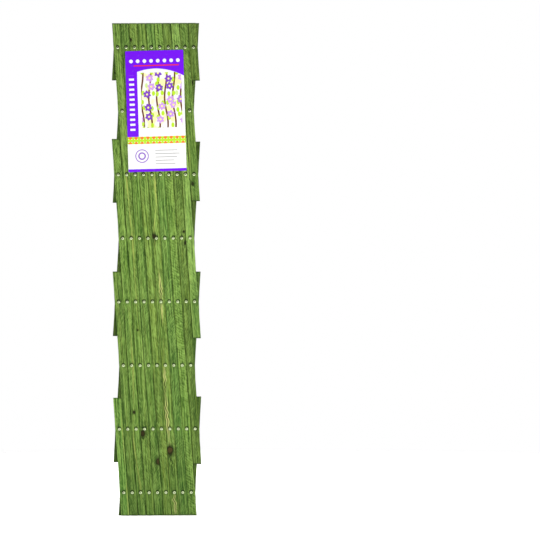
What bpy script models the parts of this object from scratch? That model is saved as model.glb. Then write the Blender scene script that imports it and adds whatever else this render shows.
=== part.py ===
# Expandable garden trellis. Two layers of stained softwood slats are riveted wherever they cross, so the
# lattice opens and folds like a row of scissors. It stands folded and upright, with its front towards -Y.
# The origin is the middle of the rear head of the rivet that it hangs from, in the second row.

import math

import bmesh
import bpy

# Lattice
PITCH = 0.1524            # rivet to rivet along a slat
COLUMNS = 19
ROWS = 8
HANGING_COLUMN = 9        # counted from 0 at the left
HANGING_ROW = 1           # counted from 0 at the top
FOLDED_GAP = 0.0006       # between neighbouring slats of a layer
CLEARANCE = 0.0003        # between pieces that touch or turn on each other

# Slats
SLAT_WIDTH = 0.0195
SLAT_THICKNESS = 0.006
ARRIS = 0.0005            # chamfer along the slat's edges

# Length of slat past its last rivet, where the folded bundle is sawn off at the top and bottom
TOP_END = 0.0585
BOTTOM_END = 0.055

# The same at the sides, where the slats are cut unevenly: each second row, from the top one down
LEFT_UPPER_ENDS = (0.086, 0.073, 0.075)
RIGHT_UPPER_ENDS = (0.079, 0.072, 0.077)
LEFT_LOWER_ENDS = (0.078, 0.067, 0.082, 0.080)
RIGHT_LOWER_ENDS = (0.080, 0.064, 0.088, 0.085)

# Semi-tubular rivets
SHANK_RADIUS = 0.0021
BORE_RADIUS = 0.0013
BORE_DEPTH = 0.0045       # from the highest ring of the clenched end
CLENCH_RADIUS = 0.0038    # outer radius of the rolled-over end
CREST_RADIUS = 0.0025     # radius of its highest ring
CLENCH_HEIGHT = 0.0011
MOUTH_DEPTH = 0.0004      # from the highest ring down to where the bore starts
HEAD_RADIUS = 0.0041      # factory head at the back
HEAD_THICKNESS = 0.001
RIVET_SIDES = 8

# Card
CARD_WIDTH = 0.139
CARD_HEIGHT = 0.289
CARD_THICKNESS = 0.0006
CARD_TILT = math.radians(1.4)   # its right side is turned up

# The layer that a slat lies in, which is also the way it runs on its way down: to the right or to the left
FRONT = 1
BACK = -1

# Half the angle between the two layers, where folded neighbours in one layer nearly touch
FOLD_ANGLE = math.asin((SLAT_WIDTH + FOLDED_GAP) / PITCH) / 2

# The layers' places along Y, from the rear head, which ends at 0, to the card in front
BACK_SLAT_REAR = -HEAD_THICKNESS - CLEARANCE
BACK_SLAT_FACE = BACK_SLAT_REAR - SLAT_THICKNESS
FRONT_SLAT_REAR = BACK_SLAT_FACE - CLEARANCE
FRONT_SLAT_FACE = FRONT_SLAT_REAR - SLAT_THICKNESS
CLENCH_BASE = FRONT_SLAT_FACE - CLEARANCE
RIVET_TIP = CLENCH_BASE - CLENCH_HEIGHT
BORE_END = RIVET_TIP + BORE_DEPTH
CARD_REAR = RIVET_TIP - CLEARANCE

# Corner radius of the holes, whose flats clear the shank
HOLE_RADIUS = (SHANK_RADIUS + CLEARANCE) / math.cos(math.pi / RIVET_SIDES)

# Material slots of a slat
WOOD = 0
METAL = 1

SAME_LEVEL = 0.000001     # rims closer than this along Y are in one plane


def make_material(name, colour, roughness, metallic=0.0):
    material = bpy.data.materials.new(name)
    material.use_nodes = True
    material.diffuse_color = (*colour, 1.0)
    shader = material.node_tree.nodes["Principled BSDF"]
    shader.inputs["Base Color"].default_value = (*colour, 1.0)
    shader.inputs["Roughness"].default_value = roughness
    shader.inputs["Metallic"].default_value = metallic
    return material


def mesh_from(bm, name, materials):
    mesh = bpy.data.meshes.new(name)
    bm.to_mesh(mesh)
    bm.free()
    for material in materials:
        mesh.materials.append(material)
    mesh.set_sharp_from_angle(angle=math.radians(50))
    return mesh


def place(name, mesh, parent=None, location=(0.0, 0.0, 0.0), lean=0.0):
    placed = bpy.data.objects.new(name, mesh)
    bpy.context.collection.objects.link(placed)
    placed.parent = parent
    placed.location = location
    placed.rotation_euler = (0.0, lean, 0.0)
    return placed


# A slat is the pair (layer, start), where start is the column in which its line meets the top row

def slat_rows(slat):
    layer, start = slat
    return [row for row in range(ROWS) if 0 <= start + layer * row < COLUMNS]


def layer_slats(layer):
    starts = range(-ROWS, COLUMNS + ROWS)
    return [(layer, start) for start in starts if start % 2 == 0 and slat_rows((layer, start))]


def column_of(slat, row):
    layer, start = slat
    return start + layer * row


def crossing_slat(slat, row):
    layer, start = slat
    return -layer, start + 2 * layer * row


def slat_name(slat):
    layer, _ = slat
    side = "front" if layer == FRONT else "back"
    return f"{side}_slat_{layer_slats(layer).index(slat) + 1:02d}"


def find_hinges():
    """Return {slat: (the slat that carries it, the row of their hinge)}, from the hanging rivet outwards."""
    slats = layer_slats(FRONT) + layer_slats(BACK)
    hinges = {
        (layer, HANGING_COLUMN - layer * HANGING_ROW): (None, HANGING_ROW) for layer in (FRONT, BACK)
    }
    while len(hinges) < len(slats):
        carriers = set(hinges)
        for slat in slats:
            rows = [row for row in slat_rows(slat) if crossing_slat(slat, row) in carriers]
            if rows and slat not in hinges:
                hinges[slat] = (crossing_slat(slat, rows[0]), rows[0])
    return hinges


def slat_ends(slat):
    """Return how far the slat reaches past its first rivet and past its last."""
    layer, _ = slat
    rows = slat_rows(slat)
    upper_ends = LEFT_UPPER_ENDS if layer == FRONT else RIGHT_UPPER_ENDS
    lower_ends = RIGHT_LOWER_ENDS if layer == FRONT else LEFT_LOWER_ENDS
    upper, lower = TOP_END, BOTTOM_END
    if rows[0] > 0:
        upper = upper_ends[(rows[0] // 2 - 1) % len(upper_ends)]
    if rows[-1] < ROWS - 1:
        lower = lower_ends[rows[-1] // 2 % len(lower_ends)]
    return upper, lower


def turn_into(bm, profile, height, material_index):
    """Turn (radius, y) points about a line along Y at the height. Both ends stay open."""
    points = [bm.verts.new((radius, y, height)) for radius, y in profile]
    edges = [bm.edges.new(pair) for pair in zip(points, points[1:])]
    faces_before = set(bm.faces)
    bmesh.ops.spin(
        bm, geom=points + edges, cent=(0.0, 0.0, height), axis=(0.0, 1.0, 0.0),
        angle=2 * math.pi, steps=RIVET_SIDES, use_merge=True,
    )
    for face in set(bm.faces) - faces_before:
        face.smooth = True
        face.material_index = material_index


def open_rims(bm, level):
    """Return the open edges that lie in the plane y = level."""
    return [
        edge for edge in bm.edges
        if edge.is_boundary and all(abs(vert.co.y - level) < SAME_LEVEL for vert in edge.verts)
    ]


def cap_rivets(bm, material_index):
    """Close the bottoms of the bores and the flats of the rear heads."""
    for level in (BORE_END, 0.0):
        for face in bmesh.ops.holes_fill(bm, edges=open_rims(bm, level), sides=0)["faces"]:
            face.material_index = material_index
    bmesh.ops.recalc_face_normals(bm, faces=bm.faces)


def clenched_end(base):
    """Return the outline from the bottom of the bore, over the rolled-over end, to its base."""
    return [
        (BORE_RADIUS, BORE_END),
        (BORE_RADIUS, RIVET_TIP + MOUTH_DEPTH),
        (CREST_RADIUS, RIVET_TIP),
        (CLENCH_RADIUS, base),
    ]


def shank_and_head(shank_start):
    """Return the outline from the shank's start to the rear of the factory head."""
    return [
        (SHANK_RADIUS, shank_start),
        (SHANK_RADIUS, -HEAD_THICKNESS),
        (HEAD_RADIUS, -HEAD_THICKNESS),
        (HEAD_RADIUS, 0.0),
    ]


def loose_rivet_mesh(aluminium):
    """A rivet that is a piece of its own and clears its slats all round."""
    bm = bmesh.new()
    turn_into(bm, clenched_end(CLENCH_BASE) + shank_and_head(CLENCH_BASE), 0.0, 0)
    cap_rivets(bm, 0)
    return mesh_from(bm, "rivet", [aluminium])


def add_slat_body(bm, slat, hinge_row, face, rear):
    """Add a slat along Z, without its broad faces, with its hinge on the Y axis."""
    layer, _ = slat
    rows = slat_rows(slat)
    upper, lower = slat_ends(slat)
    top = (hinge_row - rows[0]) * PITCH + upper
    bottom = (hinge_row - rows[-1]) * PITCH - lower
    bmesh.ops.create_cube(bm, size=1.0)
    bmesh.ops.scale(bm, verts=bm.verts, vec=(SLAT_WIDTH, rear - face, top - bottom))
    bmesh.ops.translate(bm, verts=bm.verts, vec=(0.0, (face + rear) / 2, (top + bottom) / 2))
    long_edges = [edge for edge in bm.edges if edge.calc_length() > (top - bottom) / 2]
    bmesh.ops.bevel(
        bm, geom=long_edges, offset=ARRIS, segments=1, profile=0.5, affect="EDGES", material=-1,
    )
    bm.normal_update()
    broad_faces = [slat_face for slat_face in bm.faces if abs(slat_face.normal.y) > 0.99]
    bmesh.ops.delete(bm, geom=broad_faces, context="FACES_ONLY")
    # The saw runs level through the leaning slats
    for vert in bm.verts:
        vert.co.z -= layer * math.tan(FOLD_ANGLE) * vert.co.x


def slat_mesh(slat, hinge_row, loose_places, wood, aluminium):
    """A slat with clearance holes for its loose rivets, and with its seated rivets as part of it."""
    layer, _ = slat
    face, rear = (FRONT_SLAT_FACE, FRONT_SLAT_REAR) if layer == FRONT else (BACK_SLAT_FACE, BACK_SLAT_REAR)
    bm = bmesh.new()
    add_slat_body(bm, slat, hinge_row, face, rear)
    for row in slat_rows(slat):
        height = (hinge_row - row) * PITCH
        if layer == BACK or (column_of(slat, row), row) in loose_places:
            turn_into(bm, [(HOLE_RADIUS, face), (HOLE_RADIUS, rear)], height, WOOD)
        else:
            turn_into(bm, clenched_end(face), height, METAL)
            turn_into(bm, shank_and_head(rear), height, METAL)
    for level in (face, rear):
        bmesh.ops.triangle_fill(bm, edges=open_rims(bm, level), use_beauty=True)
    cap_rivets(bm, METAL)
    return mesh_from(bm, slat_name(slat), [wood, aluminium])


def card_mesh(card_stock):
    bm = bmesh.new()
    bmesh.ops.create_cube(bm, size=1.0)
    bmesh.ops.scale(bm, verts=bm.verts, vec=(CARD_WIDTH, CARD_THICKNESS, CARD_HEIGHT))
    bmesh.ops.translate(bm, verts=bm.verts, vec=(0.0, CARD_REAR - CARD_THICKNESS / 2, 0.0))
    return mesh_from(bm, "card", [card_stock])


def place_lattice(hanging_rivet, rivet_mesh, wood, aluminium):
    """Hang every slat on the one that carries it, and put the loose rivets on their front slats."""
    hinges = find_hinges()
    loose_places = {(column_of(slat, row), row) for slat, (_, row) in hinges.items()}
    placed = {}
    for slat, (carrier, hinge_row) in hinges.items():
        layer, _ = slat
        mesh = slat_mesh(slat, hinge_row, loose_places, wood, aluminium)
        if carrier is None:
            placed[slat] = place(slat_name(slat), mesh, hanging_rivet, lean=-layer * FOLD_ANGLE)
        else:
            height = (hinges[carrier][1] - hinge_row) * PITCH
            lean = -2 * layer * FOLD_ANGLE
            placed[slat] = place(slat_name(slat), mesh, placed[carrier], (0.0, 0.0, height), lean)
        for row in slat_rows(slat):
            column = column_of(slat, row)
            hangs = (column, row) == (HANGING_COLUMN, HANGING_ROW)
            if layer == FRONT and (column, row) in loose_places and not hangs:
                name = f"rivet_row{row + 1}_column{column + 1:02d}"
                place(name, rivet_mesh, placed[slat], (0.0, 0.0, (hinge_row - row) * PITCH))


for old in list(bpy.data.objects):
    bpy.data.objects.remove(old)

stained_wood = make_material("stained_wood", (0.13, 0.22, 0.05), 0.75)
aluminium = make_material("aluminium", (0.8, 0.81, 0.82), 0.35, 1.0)
card_stock = make_material("card_stock", (0.82, 0.78, 0.86), 0.5)
rivet_mesh = loose_rivet_mesh(aluminium)
hanging_rivet = place("hanging_rivet", rivet_mesh)
place_lattice(hanging_rivet, rivet_mesh, stained_wood, aluminium)
place("card", card_mesh(card_stock), hanging_rivet, lean=-CARD_TILT)
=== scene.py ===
import math
import random

import bmesh
import bpy
from mathutils import Matrix, Vector, noise


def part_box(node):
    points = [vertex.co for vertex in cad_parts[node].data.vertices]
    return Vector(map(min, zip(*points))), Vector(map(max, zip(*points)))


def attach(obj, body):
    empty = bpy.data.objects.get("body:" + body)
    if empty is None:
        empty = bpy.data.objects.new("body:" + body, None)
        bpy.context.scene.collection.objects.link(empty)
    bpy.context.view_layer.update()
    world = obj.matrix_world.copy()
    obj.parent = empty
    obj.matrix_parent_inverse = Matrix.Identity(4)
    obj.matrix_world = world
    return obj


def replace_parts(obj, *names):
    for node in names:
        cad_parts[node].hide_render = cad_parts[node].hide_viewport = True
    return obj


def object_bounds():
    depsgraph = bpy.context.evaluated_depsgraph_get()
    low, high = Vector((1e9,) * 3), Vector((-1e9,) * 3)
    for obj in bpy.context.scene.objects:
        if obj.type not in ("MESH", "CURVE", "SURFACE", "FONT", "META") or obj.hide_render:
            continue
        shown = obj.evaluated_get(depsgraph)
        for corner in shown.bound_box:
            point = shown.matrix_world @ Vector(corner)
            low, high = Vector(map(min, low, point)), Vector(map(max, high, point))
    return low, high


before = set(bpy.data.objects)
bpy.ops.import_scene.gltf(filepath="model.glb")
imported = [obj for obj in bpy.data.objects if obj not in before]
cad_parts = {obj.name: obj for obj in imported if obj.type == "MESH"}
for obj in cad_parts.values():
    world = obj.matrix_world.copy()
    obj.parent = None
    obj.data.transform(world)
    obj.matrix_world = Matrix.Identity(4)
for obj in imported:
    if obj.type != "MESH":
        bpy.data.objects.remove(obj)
cadLow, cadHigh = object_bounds()
scene = bpy.context.scene

lattice = {
    "pitch": 0.1524,  # rivet to rivet along a slat
    "columns": 19,
    "rows": 8,
    "hangingColumn": 9,
    "hangingRow": 1,
    "slatWidth": 0.0195,
    "foldedGap": 0.0006,
}
foldAngle = math.asin((lattice["slatWidth"] + lattice["foldedGap"]) / lattice["pitch"]) / 2
sharpAngle = math.radians(42)  # edges that turn more than this look crisp
tolerance = 0.000001  # in metres
mm = 1000  # patterns are drawn in millimetres, shapes in metres
fullTurn = 6.2832

frontLow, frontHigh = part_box("front_slat_08")  # a slat without seated rivets
backLow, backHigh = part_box("back_slat_06")
rivetLow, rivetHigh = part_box("hanging_rivet")
print("frame loaded:", len(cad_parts), "nodes")


def fromScreen(red, green, blue):  # a colour as a screen shows it, 0 to 255
    parts = [value / 255 for value in (red, green, blue)]
    return (*[p / 12.92 if p <= 0.04045 else ((p + 0.055) / 1.055) ** 2.4 for p in parts], 1.0)


class Wire:  # a socket that can be used in sums
    def __init__(self, nodes, socket):
        self.nodes = nodes
        self.socket = socket

    def __add__(self, other):
        return self.nodes.maths("ADD", self, other)

    def __radd__(self, other):
        return self.nodes.maths("ADD", other, self)

    def __sub__(self, other):
        return self.nodes.maths("SUBTRACT", self, other)

    def __rsub__(self, other):
        return self.nodes.maths("SUBTRACT", other, self)

    def __mul__(self, other):
        return self.nodes.maths("MULTIPLY", self, other)

    def __rmul__(self, other):
        return self.nodes.maths("MULTIPLY", other, self)

    def __truediv__(self, other):
        return self.nodes.maths("DIVIDE", self, other)

    def __rtruediv__(self, other):
        return self.nodes.maths("DIVIDE", other, self)

    def __pow__(self, other):
        return self.nodes.maths("POWER", self, other)

    def __abs__(self):
        return self.nodes.maths("ABSOLUTE", self)

    def output(self, name):  # another output of the same node
        return Wire(self.nodes, self.socket.node.outputs[name])


class Nodes:  # the nodes of a material or of the sky
    def __init__(self, tree):
        self.tree = tree

    def feed(self, socket, value):
        if isinstance(value, Wire):
            self.tree.links.new(value.socket, socket)
        else:
            socket.default_value = value

    def node(self, kind, settings, sockets, output=0):
        made = self.tree.nodes.new(kind)
        for setting, value in settings.items():
            setattr(made, setting, value)
        for socket, value in sockets.items():
            self.feed(made.inputs[socket], value)
        return Wire(self, made.outputs[output])

    def maths(self, operation, *values):
        return self.node("ShaderNodeMath", {"operation": operation}, dict(enumerate(values)))

    def wave(self, turns):  # from 0 to 1 and back in each turn
        return self.maths("SINE", turns * fullTurn) * 0.5 + 0.5

    def fraction(self, value):
        return self.maths("FRACT", value)

    def distance(self, x, y):
        return self.maths("SQRT", x * x + y * y)

    def limit(self, value):
        return self.maths("MINIMUM", value, 1.0)

    def attribute(self, name):
        return self.node("ShaderNodeAttribute", {"attribute_name": name}, {}, "Vector")

    def parts(self, vector):
        split = self.node("ShaderNodeSeparateXYZ", {}, {0: vector})
        return [Wire(self, socket) for socket in split.socket.node.outputs]

    def joined(self, x, y, z):
        return self.node("ShaderNodeCombineXYZ", {}, {0: x, 1: y, 2: z})

    def noise(self, place, detail=2.0, roughness=0.5):
        sockets = {"Vector": place, "Scale": 1.0, "Detail": detail, "Roughness": roughness}
        return self.node("ShaderNodeTexNoise", {}, sockets)

    def fade(self, value, start, end):  # 0 at the start and 1 at the end
        settings = {"interpolation_type": "SMOOTHSTEP"}
        return self.node("ShaderNodeMapRange", settings, {0: value, 1: start, 2: end})

    def blend(self, amount, first, second):
        return self.node("ShaderNodeMix", {"data_type": "RGBA"}, {0: amount, 6: first, 7: second}, 2)

    def bump(self, height, strength, distance):
        sockets = {"Height": height, "Strength": strength, "Distance": distance}
        return self.node("ShaderNodeBump", {}, sockets)


class Finish(Nodes):  # a material and its shader
    def __init__(self, name, **plain):
        self.material = bpy.data.materials.new(name)
        self.material.use_nodes = True
        super().__init__(self.material.node_tree)
        self.shader = self.tree.nodes["Principled BSDF"]
        self.shade(**plain)

    def shade(self, **sockets):
        for name, value in sockets.items():
            self.feed(self.shader.inputs[name.replace("_", " ")], value)


# Green-stained sawn softwood. The attributes are in millimetres along and across each slat.
def stainedWood():
    look = {
        "dark": fromScreen(48, 86, 26),
        "green": fromScreen(80, 132, 44),
        "olive": fromScreen(126, 138, 50),
        "pale": fromScreen(158, 194, 98),
        "cool": fromScreen(56, 124, 58),
        "deep": fromScreen(20, 34, 10),
        "sapwood": fromScreen(172, 182, 92),
        "knot": fromScreen(36, 32, 10),
        "knotHeart": fromScreen(96, 76, 44),
        "straw": fromScreen(214, 216, 134),
        "weathered": fromScreen(134, 164, 104),
    }
    grain = {  # (width, length, detail, roughness, shift) of each kind of streak
        "broad": (7.0, 380.0, 1.0, 0.5, 0.0),
        "middle": (2.4, 150.0, 2.0, 0.55, 11.0),
        "fine": (1.2, 80.0, 1.0, 0.5, 17.0),
        "fibre": (0.35, 26.0, 3.0, 0.65, 31.0),
        "fleck": (0.8, 7.0, 2.0, 0.6, 23.0),
        "mottle": (2.4, 12.0, 2.0, 0.6, 41.0),
    }
    marks = {  # in millimetres: a darkening starts at the first number and is full at the second
        "sawTooth": 6.6,  # from one mark of the saw to the next
        "heartRadius": (5.7, 8.4),  # only large knots show a brown heart
        "paintedFootShade": (180.0, 10.0),  # painted shade, darker towards the bottom, above the lower end
        # painted shadow along the cut ends
        "paintedEndShade": (4.0, 0.6),
        "edgeStainAndShade": (9.0, 9.9),  # stain at the arrises and painted shade in the gaps between the slats, from the middle of the slat
        "rivetStainAndShadow": (5.3, 4.2),  # crushed wood and painted shadow round each rivet, from the rivet's axis
        "rivetShadowLift": 1.2,  # painted shadow: the dark ring is moved up, so more of it shows above each rivet
    }
    wood = Finish("stainedWood", IOR=1.36)
    across, depth, along = wood.parts(wood.attribute("grain"))
    seed, olive, light = wood.parts(wood.attribute("board"))
    toTop, toBottom, weather = wood.parts(wood.attribute("ends"))

    # The grain parts round each knot
    knotShade, knotEdge, heart = 0.0, 0.0, 0.0
    ragged = wood.noise(wood.joined(across / 6 + seed, depth / 6, along / 8), 2.0, 0.6)
    flow = across
    for name in ("knotA", "knotB"):
        side, height, radius = wood.parts(wood.attribute(name))
        offset = across - side
        distance = wood.distance(offset, (along - height) * 0.8)
        reach = distance / (radius * 2.4 + 0.001)
        push = wood.maths("EXPONENT", reach * reach * -1.0) * radius
        flow = flow - offset / (abs(offset) + radius * 0.5 + 0.01) * push
        share = distance / (radius + 0.001) * (ragged * 0.9 + 0.55)
        knotShade = knotShade + wood.fade(share, 1.08, 0.72)
        knotEdge = knotEdge + wood.fade(share, 2.1, 0.9)
        ringed = wood.fade(share, 0.72, 0.45) * (wood.wave(share * 3.4 - 0.2) * 0.6 + 0.4)
        heart = heart + ringed * wood.fade(radius, *marks["heartRadius"])

    def streaks(width, length, detail, roughness, shift):
        place = wood.joined(flow / width + seed * 3.7 + shift, depth / width, along / length + seed)
        return wood.noise(place, detail, roughness)

    broad, middle, fine, fibre, fleck, mottle = [streaks(*kind) for kind in grain.values()]
    blotch = wood.noise(wood.joined(across / 14 + seed * 9.1, depth / 14, along / 60 + seed), 2.0)

    # The saw's marks lean across the slat, and show in some patches more than in others
    lean = wood.fade(wood.fraction(seed * 2.7), 0.3, 0.7) * 2.8 - 1.4
    slant = along + flow * lean
    feather = wood.joined(flow / 8.0 + seed * 5.1, depth / 8.0, slant / 3.4 + seed)
    feather = wood.noise(feather, 2.0, 0.6)
    kerf = wood.wave(slant / marks["sawTooth"] + blotch * 2.4 + feather * 1.6)
    sawn = wood.noise(wood.joined(across / 40 + seed, 0.0, along / 120 + seed * 7.3), 1.0)
    sawn = wood.fade(sawn, 0.4, 0.56)

    # A growth ring darkens slowly, then ends in a pale line with a groove beside it
    arch = wood.fade(wood.wave(seed * 2.9), 0.55, 0.6)  # the rings of a slat that was sawn flat arch
    ringWidth = wood.wave(seed * 1.3) * 2.6 + 2.6
    rings = flow / ringWidth * (1.0 - arch) + (flow * flow / 16.0 + along / 52.0) * arch
    turn = wood.fraction(rings + broad * 5.0 + middle * 0.9)
    pale = turn ** 4.0 * wood.fade(turn, 1.0, 0.93)
    groove = wood.fade(turn, 0.25, 0.02)
    strong = wood.fade(middle + broad * 0.6, 0.7, 0.92)

    # A streak of sapwood, which took less of the stain
    place, reach, strength = wood.parts(wood.attribute("sapwood"))
    fading = wood.fade(wood.noise(wood.joined(seed * 5.3, 0.0, along / 140), 1.0), 0.36, 0.58)
    beside = abs(flow - place + broad * 6.0 - 3.0) / reach + fibre * 0.8
    sap = wood.fade(beside, 1.7, 0.8) * fading * strength

    colour = wood.blend(olive, look["green"], look["olive"])
    colour = wood.blend(wood.fade(olive, 0.22, 0.0) * 0.6, colour, look["cool"])
    colour = wood.blend(weather, colour, look["weathered"])
    shades = (  # how far each pattern takes the green towards a colour
        (wood.fade(blotch, 0.56, 0.36) * 0.3, "dark"),
        (wood.fade(broad, 0.54, 0.38) * 0.45, "dark"),
        (wood.fade(broad, 0.52, 0.66) * 0.3, "olive"),
        (wood.fade(middle, 0.5, 0.37) * 0.9, "dark"),
        (wood.fade(middle, 0.54, 0.67) * 0.7, "pale"),
        (turn * turn * 0.2, "olive"),
        (pale * (strong * 0.6 + 0.25), "pale"),
        (groove * 0.5, "deep"),
        (sap, "sapwood"),
        (wood.fade(fine, 0.5, 0.36) * 0.85, "dark"),
        (wood.fade(fine, 0.54, 0.68) * 0.65, "pale"),
        (wood.fade(fibre, 0.5, 0.3) * 0.5, "deep"),
        (wood.fade(fibre, 0.54, 0.74) * 0.3, "pale"),
        (wood.fade(feather, 0.48, 0.32) * (sawn * 0.26 + 0.12), "deep"),
        (wood.fade(feather, 0.52, 0.68) * (sawn * 0.3 + 0.1), "pale"),
        (kerf * kerf * (sawn * 0.22 + 0.04), "pale"),
        ((1.0 - kerf) ** 2.0 * (sawn * 0.24 + 0.06), "deep"),
        (wood.fade(mottle, 0.52, 0.7) * 0.36, "pale"),
        (wood.fade(mottle, 0.48, 0.3) * 0.36, "deep"),
        (wood.fade(fleck, 0.58, 0.7) * 0.42, "pale"),
        (wood.fade(fleck, 0.42, 0.3) * 0.42, "deep"),
    )
    for amount, name in shades:
        colour = wood.blend(amount, colour, look[name])

    # A pale line wanders along some slats, torn and dark in the middle where it is split
    place, paleness, split = wood.parts(wood.attribute("torn"))
    swing = wood.noise(wood.joined(seed, 0.0, along / 11), 2.0, 0.6) - 0.5
    offset = abs(across - place - swing * (split * 16.0 + 2.0))
    lumps = wood.fade(fleck + fibre * 0.4, 0.52, 0.7)
    width = (blotch - 0.44) * 7.0 * (1.0 - split)
    lips = wood.fade(abs(offset - split * 2.8) + fibre * 1.2 - width, 2.4, 0.6)
    lipColour = wood.blend(wood.fade(split, 0.0, 0.3), look["sapwood"], look["straw"])
    colour = wood.blend(lips * paleness * (lumps * 0.6 + 0.4), colour, lipColour)
    crack = wood.fade(offset + fleck * 1.6, 2.8, 1.6) * split
    colour = wood.blend(crack * 0.9, colour, look["deep"])

    # Knots; stain and painted shade at the arrises, painted shade towards the foot, painted shadow at the
    # ends, and crushed wood with painted shadow round the rivets
    colour = wood.blend(wood.limit(knotEdge) * 0.55, colour, look["deep"])
    colour = wood.blend(wood.limit(knotShade) * 0.95, colour, look["knot"])
    colour = wood.blend(wood.limit(heart) * 0.7, colour, look["knotHeart"])
    # stain at the arrises, with painted shade where the slats' edges meet
    edge = abs(across) + (fleck - 0.5) * 1.6 + (blotch - 0.5) * 1.8
    edge = wood.fade(edge, *marks["edgeStainAndShade"])
    colour = wood.blend(edge * 0.4, colour, look["deep"])
    # painted shade: the slats grow darker towards the bottom
    foot = wood.fade(toBottom, *marks["paintedFootShade"])
    colour = wood.blend(foot * 0.2, colour, look["dark"])
    # painted shadow along the cut ends of every slat
    end = wood.maths("MINIMUM", toTop, toBottom) + (fibre - 0.5) * 1.6
    end = wood.fade(end, *marks["paintedEndShade"])
    colour = wood.blend(end * 0.65, colour, look["deep"])
    # A dark ring round each rivet: crushed wood, and a painted shadow that lies more above the rivet
    spacing = lattice["pitch"] * mm
    nearest = along / spacing
    nearest = (nearest - wood.maths("ROUND", nearest)) * spacing
    nearest = (nearest - marks["rivetShadowLift"]) * 0.88  # the ring is a little longer than it is wide
    away = wood.distance(nearest, across)
    crushedAndShadow = wood.fade(away + (fleck - 0.5) * 1.2, *marks["rivetStainAndShadow"])
    colour = wood.blend(crushedAndShadow * 0.8, colour, look["deep"])
    # each board's tone, less the painted shade between the layers on the back slats
    bright = light * 0.8 + 0.94
    bright = wood.joined(bright, bright, bright)
    colour = wood.node("ShaderNodeVectorMath", {"operation": "MULTIPLY"}, {0: colour, 1: bright})

    relief = middle * 0.2 + fibre * 0.5 + fleck * 0.3 + feather * 0.2
    relief = relief + kerf * sawn * 0.15 + pale * 0.3 - groove * 0.2
    wood.shade(Base_Color=colour, Roughness=0.76 - pale * 0.1 + fibre * 0.12)
    wood.shade(Normal=wood.bump(relief - wood.limit(knotShade) * 0.4, 0.6, 0.0004))
    return wood.material


# Bright aluminium, a little rubbed where it was clenched, with painted shade down the bore
def brightAluminium():
    look = {
        "dull": fromScreen(216, 230, 186),
        "bright": fromScreen(238, 247, 210),
        "rubbed": fromScreen(130, 140, 108),
        # painted shade for the inside of the bore
        "bore": fromScreen(52, 56, 44),
        "boreRadius": (1.55, 1.25),  # in millimetres
        "boreDepth": (-4.0, -9.0),  # the bore is in the front half only
    }
    metal = Finish("brightAluminium", Metallic=1.0)
    x, y, z = metal.parts(metal.attribute("turned"))  # in millimetres, from the axis and the rear head
    seed = metal.parts(metal.attribute("rivet"))[0]
    radius = metal.distance(x, z)
    grain = metal.noise(metal.joined(x * 3.0 + seed, y * 3.0, z * 3.0), 3.0, 0.6)
    cloud = metal.noise(metal.joined(x * 0.5 + seed, y * 0.5, z * 0.5), 1.0)
    turning = metal.wave(radius * 2.6 + grain)
    # painted shade inside the bore
    bore = metal.fade(radius, *look["boreRadius"]) * metal.fade(y, *look["boreDepth"])
    colour = metal.blend(metal.fade(cloud, 0.35, 0.7), look["dull"], look["bright"])
    colour = metal.blend(metal.fade(grain, 0.44, 0.3) * 0.45, colour, look["rubbed"])
    colour = metal.blend(bore * 0.9, colour, look["bore"])
    metal.shade(Base_Color=colour, Roughness=0.1 + grain * 0.2 + bore * 0.3)
    metal.shade(Normal=metal.bump(grain * 0.7 + turning * 0.3, 0.35, 0.00012))
    return metal.material


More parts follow.
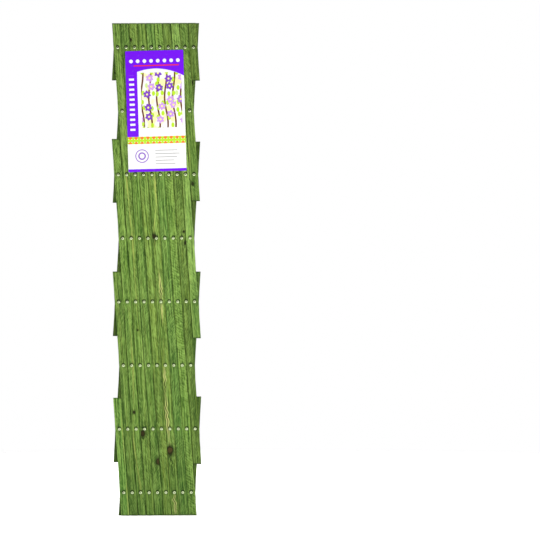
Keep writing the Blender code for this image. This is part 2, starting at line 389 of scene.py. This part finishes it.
# Coated card with a plain flower print on its front
def printedCard():
    look = {
        "board": fromScreen(232, 230, 236),
        "core": fromScreen(206, 202, 194),
        "purple": fromScreen(108, 0, 228),
        "violet": fromScreen(120, 60, 190),
        "lilac": fromScreen(196, 150, 226),
        "lime": fromScreen(176, 214, 40),
        "cream": fromScreen(240, 232, 130),
        "brown": fromScreen(98, 46, 14),
        "orange": fromScreen(232, 120, 40),
        "red": fromScreen(214, 36, 70),
        "grey": fromScreen(150, 150, 156),
    }
    layout = {  # left, right, bottom and top, in millimetres from the card's middle
        "picture": (-34.0, 63.0, -40.0, 92.0),
        "spots": (-64.0, 64.0, 114.0, 126.0),
        "rule": (-50.0, 58.0, 107.5, 110.5),
        "rungs": (-62.0, -50.0, -46.0, 86.0),
        "band": (-70.0, 70.0, -78.0, -60.8),
        "foot": (-80.0, 80.0, -150.0, -138.0),
    }
    card = Finish("printedCard", IOR=1.26)
    across, depth, up = card.parts(card.attribute("print"))  # in millimetres from the card's middle

    def inside(value, start, end):
        return card.fade(value, start - 0.2, start + 0.2) * card.fade(value, end + 0.2, end - 0.2)

    def area(name):
        left, right, bottom, top = layout[name]
        return inside(across, left, right) * inside(up, bottom, top)

    def repeated(value, spacing):
        return card.fraction(value / spacing) * spacing

    def dots(spacing, radius):
        x = repeated(across, spacing) - spacing / 2
        z = repeated(up, spacing) - spacing / 2
        return card.fade(card.distance(x, z), radius + 0.3, radius - 0.3)

    def scatter(size, stretch):  # shapes strewn about, with an angle and a random colour for each
        place = card.joined(across / size, up / size / stretch, 0.0)
        settings = {"voronoi_dimensions": "2D", "feature": "F1"}
        sockets = {"Vector": place, "Scale": 1.0, "Randomness": 0.7}
        near = card.node("ShaderNodeTexVoronoi", settings, sockets)
        sockets = {0: place, 1: near.output("Position")}
        x, z, _ = card.parts(card.node("ShaderNodeVectorMath", {"operation": "SUBTRACT"}, sockets))
        pick, turn, _ = card.parts(near.output("Color"))
        return near, card.maths("ARCTAN2", z, x), pick, turn

    picture = area("picture")
    glow = card.noise(card.joined(across / 22, 0.0, up / 26), 1.0)
    colour = card.blend(picture * card.fade(glow, 0.45, 0.6) * 0.7, look["board"], look["cream"])
    stalk = abs(card.fraction(across / 19 + card.wave(up / 120) * 0.35) - 0.5)
    colour = card.blend(picture * card.fade(stalk, 0.12, 0.09), colour, look["brown"])
    near, _, pick, _ = scatter(12.0, 1.5)  # leaves
    leaf = card.fade(near, 0.34, 0.3) * card.fade(pick, 0.35, 0.4)
    colour = card.blend(picture * leaf, colour, look["lime"])
    near, angle, pick, turn = scatter(25.0, 1.0)  # flowers with six round petals
    petals = card.wave(angle / fullTurn * 6.0 + turn * 3.0) * 0.12 + 0.27
    bloom = picture * card.fade(near - petals, 0.02, -0.02) * card.fade(pick, 0.2, 0.25)
    bloomColour = card.blend(card.fade(pick, 0.55, 0.6), look["violet"], look["lilac"])
    colour = card.blend(bloom, colour, bloomColour)
    colour = card.blend(bloom * card.fade(near, 0.11, 0.08), colour, look["cream"])

    header = card.fade(up + across * across / 260.0, 101.0, 101.6)
    border = card.fade(across, -42.0, -42.4) * card.fade(up, -61.0, -60.6)
    colour = card.blend(card.maths("MAXIMUM", header, border), colour, look["purple"])
    colour = card.blend(area("spots") * dots(16.0, 4.4), colour, look["board"])
    colour = card.blend(area("rule") * header, colour, look["red"])
    rungs = inside(repeated(up, 12), 2.0, 7.0) * area("rungs")
    colour = card.blend(rungs, colour, look["board"])

    band = area("band")
    colour = card.blend(band, colour, look["lime"])
    colour = card.blend(band * dots(14.0, 4.0), colour, look["orange"])
    colour = card.blend(band * dots(7.0, 0.9), colour, look["board"])
    lines = inside(repeated(up, 8), 1.0, 2.6) * inside(up, -128.0, -88.0)
    lines = lines * inside(across, -4.0, card.wave(up / 37) * 14 + 40)
    colour = card.blend(lines, colour, look["grey"])
    ring = card.distance(across + 36.0, up + 107.0)
    colour = card.blend(inside(ring, 14.0, 16.0) + inside(ring, 6.0, 9.0), colour, look["violet"])
    colour = card.blend(area("foot"), colour, look["purple"])

    printed = card.fade(depth, 0.0, -0.15)
    tooth = card.noise(card.joined(across * 4.0, depth, up * 4.0), 2.0)
    scuff = card.noise(card.joined(across / 9, depth, up / 5), 3.0, 0.65)
    colour = card.blend(printed, look["core"], colour)
    colour = card.blend(card.fade(scuff, 0.6, 0.9) * 0.1, colour, look["board"])
    card.shade(Base_Color=colour, Roughness=0.34 + scuff * 0.2 + (1.0 - printed) * 0.3)
    card.shade(Normal=card.bump(tooth * 0.5 + scuff, 0.15, 0.0002))
    return card.material


woodFinish = stainedWood()
aluminiumFinish = brightAluminium()
cardFinish = printedCard()
print("finishes mixed")

boards = {
    "arris": 0.0006,
    "ringSpacing": 0.009,  # between the subdivisions along a slat
    "holeRadius": 0.0025,
    "holeSides": 24,
    "dent": (  # (radius, depth) where the clenched end or the head is pressed into the wood
        (0.0049, 0.0), (0.0044, 0.00014), (0.0039, 0.0004), (0.0027, 0.0005), (0.0025, 0.0007),
    ),
    "edgeWander": 0.0003,
    "wear": (0.5, 1.8),  # the least and the most that a slat has of it
    "longWaves": 14.0,  # in a metre of the uneven edges
    "shortWaves": 95.0,
    "tightness": 0.00028,  # how much wider a slat is at its rivets, where neighbours are pressed together
    "tightReach": (0.1875, 0.0625),  # where that starts and where it is full, in pitches from a rivet
    "standOff": 0.0008,
    "standingOff": (2, 3, 5, 9, 10, 11),  # front slats with a wider gap on their right between the rivets
    "backKnots": (0.0, 1.4, 2.2, 3.6),  # the radii to pick from
    "backOlive": (0.05, 0.7),
    "backLight": (-0.25, 0.05),
    "paintedLayerShade": 0.2,  # painted shade: how much darker the back slats are between the layers
    "paintedEndShade": 0.22,  # and how much more painted shade near their ends
    "endReach": (0.32, 0.2),  # where that starts and where it is full, from an end
    "olive": (  # front slats from the left
        0.05, 0.3, 0.2, 0.4, 0.15, 0.85, 0.75, 0.02, 0.35, 0.6, 0.3, 0.25, 0.9,
    ),
    "light": (0.3, -0.1, 0.03, 0.0, -0.08, 0.04, 0.05, -0.06, 0.13, -0.22, 0.2, -0.14, -0.25),
    "weathered": {11: 0.55},  # how grey a front slat has become
    "sapwood": {  # slat: (across, half width, strength)
        1: (7.0, 1.6, 0.7),
        9: (6.5, 1.0, 0.4),
        12: (-7.0, 1.4, 0.4),
    },
    "knots": {  # slat: (across, height in the folded trellis, radius)
        3: ((-2.3, -0.720, 3.4),),
        4: ((-5.5, -0.771, 6.8), (0.0, -0.524, 2.0)),
        5: ((7.5, -0.839, 7.4),),
        6: ((-8.0, 0.171, 2.8),),
        7: ((-3.8, -0.811, 9.0), (-5.0, -0.300, 5.6)),
        10: ((6.0, -0.289, 2.8), (8.5, -0.316, 3.4)),
        12: ((-4.8, -0.174, 3.6),),
    },
    "torn": {  # slat: (height in the folded trellis, across, paleness, split)
        3: (
            (-0.460, 3.0, 0.0, 0.0), (-0.500, 3.0, 0.4, 0.0), (-0.620, 2.5, 0.5, 0.0),
            (-0.700, -2.0, 0.2, 0.0), (-0.760, -6.0, 0.2, 0.0), (-0.790, -8.5, 0.6, 0.0),
            (-0.830, -5.0, 0.6, 0.0), (-0.890, 0.0, 0.5, 0.0), (-0.950, 1.0, 0.0, 0.0),
        ),
        4: (
            (-0.140, -1.4, 0.4, 0.0), (-0.180, -1.0, 0.8, 0.0), (-0.300, 2.4, 0.7, 0.0),
            (-0.450, 1.8, 0.4, 0.0), (-0.600, 3.5, 0.0, 0.0),
        ),
        7: (
            (-0.150, 6.0, 0.0, 0.0), (-0.170, 5.7, 0.8, 0.0), (-0.225, 5.0, 0.8, 0.0),
            (-0.285, -5.0, 0.4, 0.0), (-0.320, -4.5, 0.4, 0.0), (-0.380, 0.0, 0.2, 0.0),
            (-0.405, 1.7, 1.0, 0.4), (-0.430, 1.7, 0.8, 0.9), (-0.455, 1.2, 0.1, 0.3),
            (-0.474, 0.8, 0.9, 0.2), (-0.520, 0.0, 0.3, 0.0), (-0.600, -2.0, 0.2, 0.0),
            (-0.639, -4.0, 0.8, 0.5), (-0.653, -4.5, 0.2, 1.0), (-0.680, -5.0, 0.2, 0.5),
            (-0.700, -5.0, 0.9, 0.8), (-0.755, -4.5, 1.0, 0.8), (-0.785, -4.0, 0.3, 0.2),
            (-0.825, -3.0, 0.0, 0.9), (-0.862, -1.5, 0.0, 0.8), (-0.885, -1.0, 0.0, 0.0),
            (-0.915, -0.7, 0.3, 0.2), (-0.930, -0.7, 1.0, 0.8), (-0.965, -0.5, 0.6, 0.4),
        ),
    },
}


def slatRows(layer, start):
    return [row for row in range(lattice["rows"]) if 0 <= start + layer * row < lattice["columns"]]


def allSlats(layer):
    starts = range(-lattice["rows"], lattice["columns"] + lattice["rows"])
    return [start for start in starts if start % 2 == 0 and slatRows(layer, start)]


def crossingPlace(column, row):
    step = lattice["pitch"] * math.sin(foldAngle)
    drop = lattice["pitch"] * math.cos(foldAngle)
    return Vector(((column - lattice["hangingColumn"]) * step, 0.0, (lattice["hangingRow"] - row) * drop))


def ramp(value, start, end):  # 0 at the start and 1 at the end
    return min(1.0, max(0.0, (value - start) / (end - start)))


def newPiece(bm, name, material):
    mesh = bpy.data.meshes.new(name)
    bm.to_mesh(mesh)
    bm.free()
    mesh.materials.append(material)
    mesh.set_sharp_from_angle(angle=sharpAngle)
    piece = bpy.data.objects.new(name, mesh)
    scene.collection.objects.link(piece)
    return piece


def turnInto(bm, profile, height, sides):  # turns (radius, y) points about a line along Y
    points = [bm.verts.new((radius, y, height)) for radius, y in profile]
    edges = [bm.edges.new(pair) for pair in zip(points, points[1:])]
    before = set(bm.faces)
    bmesh.ops.spin(
        bm, geom=points + edges, cent=(0.0, 0.0, height), axis=(0.0, 1.0, 0.0),
        angle=2 * math.pi, steps=sides, use_merge=True,
    )
    for face in set(bm.faces) - before:
        face.smooth = True


def openRims(bm, plane):
    return [
        edge for edge in bm.edges
        if edge.is_boundary and all(abs(vert.co.y - plane) < tolerance for vert in edge.verts)
    ]


def tornAt(number, layer, height):  # across, paleness and split, between the line's two nearest points
    points = boards["torn"].get(number, ()) if layer == 1 else ()
    for before, after in zip(points, points[1:]):
        if before[0] >= height > after[0]:
            share = (before[0] - height) / (before[0] - after[0])
            return [a + (b - a) * share for a, b in zip(before[1:], after[1:])]
    return (0.0, 0.0, 0.0)


def sawnBoard(face, rear, top, bottom):  # open on its broad sides, where the holes come
    bm = bmesh.new()
    bmesh.ops.create_cube(bm, size=1.0)
    bmesh.ops.scale(bm, verts=bm.verts, vec=(lattice["slatWidth"], rear - face, top - bottom))
    bmesh.ops.translate(bm, verts=bm.verts, vec=(0.0, (face + rear) / 2, (top + bottom) / 2))
    bmesh.ops.bevel(
        bm, geom=bm.edges[:], offset=boards["arris"], segments=2, profile=0.5, affect="EDGES",
        material=-1,
    )
    longEdges = [edge for edge in bm.edges if edge.calc_length() > (top - bottom) / 2]
    cuts = max(4, round((top - bottom) / boards["ringSpacing"]))
    bmesh.ops.subdivide_edges(bm, edges=longEdges, cuts=cuts, use_grid_fill=True)
    bm.normal_update()
    broad = [side for side in bm.faces if abs(side.normal.y) > 0.99]
    bmesh.ops.delete(bm, geom=broad, context="FACES")
    return bm


def markSlat(bm, layer, number, chance, seed, first, top, bottom):  # tells the finish where each point is
    marked = boards["knots"].get(number, ()) if layer == 1 else ()
    knots = [
        (across, (height - first.z) / math.cos(foldAngle) * mm, radius)
        for across, height, radius in marked
    ]
    while len(knots) < 2:
        radius = chance.choice(boards["backKnots"]) if layer == -1 else 0.0
        knots.append((chance.uniform(-7.0, 7.0), chance.uniform(bottom, top) * mm, radius))
    olive = boards["olive"][number - 1] if layer == 1 else chance.uniform(*boards["backOlive"])
    light = boards["light"][number - 1] if layer == 1 else chance.uniform(*boards["backLight"])
    streak = (chance.uniform(-9.0, 9.0), chance.uniform(0.5, 1.5), chance.choice((0.0, 0.3)))
    streak = boards["sapwood"].get(number, streak) if layer == 1 else streak
    weather = boards["weathered"].get(number, 0.0) if layer == 1 else 0.0

    layers = bm.verts.layers.float_vector
    names = ("grain", "board", "knotA", "knotB", "sapwood", "torn", "ends")
    grain, board, knotA, knotB, sapwood, torn, ends = [layers.new(name) for name in names]
    for vert in bm.verts:
        vert[grain] = vert.co * mm
        level = vert.co.z + layer * math.tan(foldAngle) * vert.co.x
        paintedShade = 0.0
        if layer == -1 and vert.co.y < (backLow.y + backHigh.y) / 2:  # painted shade between the layers, on the back slats' side that faces the front slats
            toEnd = min(top - level, level - bottom)
            paintedShade = boards["paintedLayerShade"] + boards["paintedEndShade"] * ramp(toEnd, *boards["endReach"])
        vert[board] = (seed, olive, light - paintedShade)
        vert[knotA] = knots[0]
        vert[knotB] = knots[1]
        vert[sapwood] = streak
        vert[ends] = ((top - level) * mm, (level - bottom) * mm, weather)
        vert[torn] = tornAt(number, layer, first.z + level * math.cos(foldAngle))


def makeSlat(layer, start, number):
    side = "front" if layer == 1 else "back"
    node = f"{side}_slat_{number:02d}"
    low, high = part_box(node)
    face, rear = (frontLow.y, frontHigh.y) if layer == 1 else (backLow.y, backHigh.y)
    rows = slatRows(layer, start)
    first = crossingPlace(start + layer * rows[0], rows[0])
    top = (high.z - first.z) / math.cos(foldAngle)
    bottom = (low.z - first.z) / math.cos(foldAngle)
    chance = random.Random(100 * number + layer)
    seed = chance.uniform(0.0, 40.0)
    worn = boards["edgeWander"] * chance.uniform(*boards["wear"])

    bm = sawnBoard(face, rear, top, bottom)
    for vert in bm.verts:  # uneven edges, pressed against the neighbours at the rivets
        edge = 1.0 if vert.co.x > 0 else -1.0
        long = noise.noise(Vector((seed, edge * 5.0, vert.co.z * boards["longWaves"])))
        short = noise.noise(Vector((seed + 9.0, edge * 5.0, vert.co.z * boards["shortWaves"])))
        turns = vert.co.z / lattice["pitch"]
        tight = ramp(abs(turns - round(turns)), *boards["tightReach"])
        wander = worn * (0.7 + 0.7 * long + 0.3 * short)
        if layer == 1 and edge > 0 and number in boards["standingOff"]:
            wander += boards["standOff"] * max(0.0, 1.0 + long)
        vert.co.x += edge * (boards["tightness"] * tight - wander * (1.0 - tight))
        vert.co.z -= layer * math.tan(foldAngle) * vert.co.x  # the saw runs level

    pressed, plain, inward = (face, rear, 1.0) if layer == 1 else (rear, face, -1.0)
    profile = [(radius, pressed + inward * sink) for radius, sink in boards["dent"]]
    profile.append((boards["holeRadius"], plain))
    for row in rows:
        turnInto(bm, profile, (rows[0] - row) * lattice["pitch"], boards["holeSides"])
    for plane in (face, rear):
        bmesh.ops.triangle_fill(bm, edges=openRims(bm, plane), use_beauty=True)
    bmesh.ops.recalc_face_normals(bm, faces=bm.faces)

    markSlat(bm, layer, number, chance, seed, first, top, bottom)
    turned = Matrix.Rotation(-layer * foldAngle, 3, "Y")
    bmesh.ops.rotate(bm, verts=bm.verts, cent=(0.0, 0.0, 0.0), matrix=turned)
    bmesh.ops.translate(bm, verts=bm.verts, vec=first)
    slat = newPiece(bm, f"{side}Slat{number:02d}", woodFinish)
    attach(slat, node)
    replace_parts(slat, node)


for layer in (1, -1):
    for number, start in enumerate(allSlats(layer), 1):
        makeSlat(layer, start, number)
print("slats sawn")

rivets = {  # semi-tubular
    "sides": 24,
    "shank": 0.0021,  # its radius
    "end": (  # (radius, depth) from the bottom of the bore over the rolled end
        (0.0, 0.0045), (0.0009, 0.0044), (0.0013, 0.0040), (0.0013, 0.0010), (0.00136, 0.0003),
        (0.0015, 0.00006), (0.00168, 0.0), (0.0021, 0.00003), (0.0026, 0.0001), (0.0031, 0.00023),
        (0.0035, 0.00046), (0.0038, 0.0010), (0.0037, 0.0014), (0.0034, 0.00155),
    ),
    "head": (  # (radius, height under the rear face)
        (0.0039, 0.0010), (0.0041, 0.0008), (0.0040, 0.00055), (0.0034, 0.0002), (0.0022, 0.00005),
        (0.0, 0.0),
    ),
}


def rivetShape():
    bm = bmesh.new()
    profile = [(radius, rivetLow.y + depth) for radius, depth in rivets["end"]]
    head = [(radius, rivetHigh.y - height) for radius, height in rivets["head"]]
    profile += [(rivets["shank"], profile[-1][1]), (rivets["shank"], head[0][1])]
    turnInto(bm, profile + head, 0.0, rivets["sides"])
    bmesh.ops.remove_doubles(bm, verts=bm.verts, dist=0.00001)
    bmesh.ops.recalc_face_normals(bm, faces=bm.faces)
    mesh = bpy.data.meshes.new("rivetShape")
    bm.to_mesh(mesh)
    bm.free()
    return mesh


rivetMesh = rivetShape()


def makeRivets(name, body, places):
    bm = bmesh.new()
    turned = bm.verts.layers.float_vector.new("turned")
    rivet = bm.verts.layers.float_vector.new("rivet")
    nodes = []
    for column, row in places:
        chance = random.Random(column * 31 + row)
        before = len(bm.verts)
        bm.from_mesh(rivetMesh)
        bm.verts.ensure_lookup_table()
        added = bm.verts[before:]
        for vert in added:
            vert[turned] = vert.co * mm
            vert[rivet] = (chance.uniform(0.0, 50.0), 0.0, 0.0)
        spun = Matrix.Rotation(chance.uniform(0.0, math.pi), 3, "Y")
        bmesh.ops.rotate(bm, verts=added, cent=(0.0, 0.0, 0.0), matrix=spun)
        bmesh.ops.translate(bm, verts=added, vec=crossingPlace(column, row))
        node = f"rivet_row{row + 1}_column{column + 1:02d}"
        nodes += [node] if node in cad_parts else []
    made = newPiece(bm, name, aluminiumFinish)
    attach(made, body)
    if nodes:
        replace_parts(made, *nodes)
    return made


hanging = (lattice["hangingColumn"], lattice["hangingRow"])
for number, start in enumerate(allSlats(1), 1):
    places = [(start + row, row) for row in slatRows(1, start)]
    places = [place for place in places if place != hanging]
    makeRivets(f"rivets{number:02d}", f"front_slat_{number:02d}", places)
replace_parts(makeRivets("hangingRivet", "hanging_rivet", [hanging]), "hanging_rivet")
print("rivets clenched")

cardBoard = {
    "width": 0.139,
    "height": 0.289,
    "tilt": 1.4,
    "corner": 0.0012,
    "rim": 0.00008,
}


def makeCard():
    low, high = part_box("card")
    thickness = high.y - low.y
    middle = (low.y + high.y) / 2
    bm = bmesh.new()
    bmesh.ops.create_cube(bm, size=1.0)
    bmesh.ops.scale(bm, verts=bm.verts, vec=(cardBoard["width"], thickness, cardBoard["height"]))
    bmesh.ops.translate(bm, verts=bm.verts, vec=(0.0, middle, 0.0))
    corners = [edge for edge in bm.edges if edge.calc_length() < 2 * thickness]
    bmesh.ops.bevel(
        bm, geom=corners, offset=cardBoard["corner"], segments=5, profile=0.5, affect="EDGES",
        material=-1,
    )
    rims = [
        edge for edge in bm.edges
        if edge.is_convex and abs(edge.verts[0].co.y - edge.verts[1].co.y) < tolerance
    ]
    bmesh.ops.bevel(
        bm, geom=rims, offset=cardBoard["rim"], segments=1, profile=0.5, affect="EDGES", material=-1,
    )
    ink = bm.verts.layers.float_vector.new("print")
    for vert in bm.verts:
        vert[ink] = (vert.co.x * mm, (vert.co.y - middle) * mm, vert.co.z * mm)
    tilt = Matrix.Rotation(-math.radians(cardBoard["tilt"]), 3, "Y")
    bmesh.ops.rotate(bm, verts=bm.verts, cent=(0.0, 0.0, 0.0), matrix=tilt)
    made = newPiece(bm, "card.print", cardFinish)
    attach(made, "hanging_rivet")
    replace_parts(made, "card")


makeCard()
print("card printed")

camera = {
    "picture": 540,  # pixels across and down
    "metresPerPixel": 0.002396,
    "rivetX": 156.1,  # where the hanging rivet is in the picture
    "rivetY": 111.3,
    "distance": 7.0,
    "roll": 0.25,
}


def placeCamera():
    data = bpy.data.cameras.new("camera")
    width = camera["picture"] * camera["metresPerPixel"]
    data.lens = data.sensor_width * camera["distance"] / width
    made = bpy.data.objects.new("camera", data)
    roll = math.radians(camera["roll"])
    right = Vector((math.cos(roll), 0.0, -math.sin(roll)))
    up = Vector((math.sin(roll), 0.0, math.cos(roll)))
    across = (camera["picture"] / 2 - camera["rivetX"]) * camera["metresPerPixel"]
    down = (camera["picture"] / 2 - camera["rivetY"]) * camera["metresPerPixel"]
    made.location = right * across - up * down - Vector((0.0, camera["distance"], 0.0))
    made.rotation_euler = (math.radians(90), roll, 0.0)
    scene.collection.objects.link(made)
    scene.camera = made


studio = {
    "floorRadius": 2.5,
    "paper": (0.86, 0.86, 0.85, 1.0),
    "paperFibre": (0.82, 0.82, 0.81, 1.0),
    "key": {"place": (0.15, -1.9, -0.6), "size": 1.1, "power": 6.2, "colour": (0.66, 1.0, 0.7)},
    "sheen": {"place": (0.15, -1.9, -0.62), "size": 1.7, "power": 11.5, "colour": (0.92, 1.0, 0.78)},
    "fill": {"place": (0.35, -1.25, -0.2), "size": 1.0, "power": 17.0, "colour": (1.0, 0.96, 0.9)},
    "rear": {"place": (-0.6, 2.0, 0.1), "size": 1.2, "power": 42.0, "colour": (1.0, 1.0, 0.97)},
    "aim": (0.0, 0.0, -0.3),
    "topPower": 4.6,
    "topAngle": 30.0,
    "white": (1.0, 1.0, 1.0, 1.0),
    "horizon": 0.7,  # how bright the sky is below its edge and above it
    "overhead": 0.04,
    "skyEdge": (-0.08, 0.06),
}


def areaLight(name, place, size, power, colour):
    data = bpy.data.lights.new(name, "AREA")
    data.size = size
    data.energy = power
    data.color = colour
    made = bpy.data.objects.new(name, data)
    made.location = place
    made.rotation_euler = (Vector(studio["aim"]) - made.location).to_track_quat("-Z", "Y").to_euler()
    made.visible_camera = False
    scene.collection.objects.link(made)
    return made


def topLight():  # shines straight down on the paper
    data = bpy.data.lights.new("top", "SUN")
    data.energy = studio["topPower"]
    data.angle = math.radians(studio["topAngle"])
    made = bpy.data.objects.new("top", data)
    made.visible_glossy = False
    scene.collection.objects.link(made)


def layPaper():
    bm = bmesh.new()
    bmesh.ops.create_circle(bm, cap_ends=True, radius=studio["floorRadius"], segments=96)
    bmesh.ops.translate(bm, verts=bm.verts, vec=(0.0, 0.0, cadLow.z))
    paper = Finish("palePaper", Roughness=0.9)
    place = paper.node("ShaderNodeTexCoord", {}, {}, "Object")
    place = paper.node("ShaderNodeVectorMath", {"operation": "SCALE"}, {0: place, "Scale": 60.0})
    fibres = paper.noise(place, 3.0) * 0.2
    paper.shade(Base_Color=paper.blend(fibres, studio["paper"], studio["paperFibre"]))
    floor = newPiece(bm, "floor", paper.material)
    floor.visible_diffuse = False
    floor.visible_glossy = False


def hangSky():  # white behind the trellis, and dim where it lights it
    world = bpy.data.worlds.new("studio")
    world.use_nodes = True
    sky = Nodes(world.node_tree)
    height = sky.parts(sky.node("ShaderNodeTexCoord", {}, {}, "Generated"))[2]
    lower, upper = studio["skyEdge"]
    strength = sky.node("ShaderNodeMapRange", {}, {
        "Value": height, "From Min": lower, "From Max": upper,
        "To Min": studio["horizon"], "To Max": studio["overhead"],
    })
    soft = sky.node("ShaderNodeBackground", {}, {"Color": studio["white"], "Strength": strength})
    behind = sky.tree.nodes["Background"]
    sky.feed(behind.inputs["Color"], studio["white"])
    ray = sky.node("ShaderNodeLightPath", {}, {}, "Is Camera Ray")
    seen = sky.node("ShaderNodeMixShader", {}, {0: ray, 1: soft, 2: Wire(sky, behind.outputs[0])})
    sky.feed(sky.tree.nodes["World Output"].inputs["Surface"], seen)
    scene.world = world


placeCamera()
layPaper()
hangSky()
scene.view_settings.view_transform = "Standard"
areaLight("key", **studio["key"]).visible_glossy = False
areaLight("sheen", **studio["sheen"]).visible_diffuse = False  # seen in reflections alone
areaLight("fill", **studio["fill"]).visible_glossy = False
areaLight("rear", **studio["rear"]).visible_glossy = False
topLight()
print("studio lit")
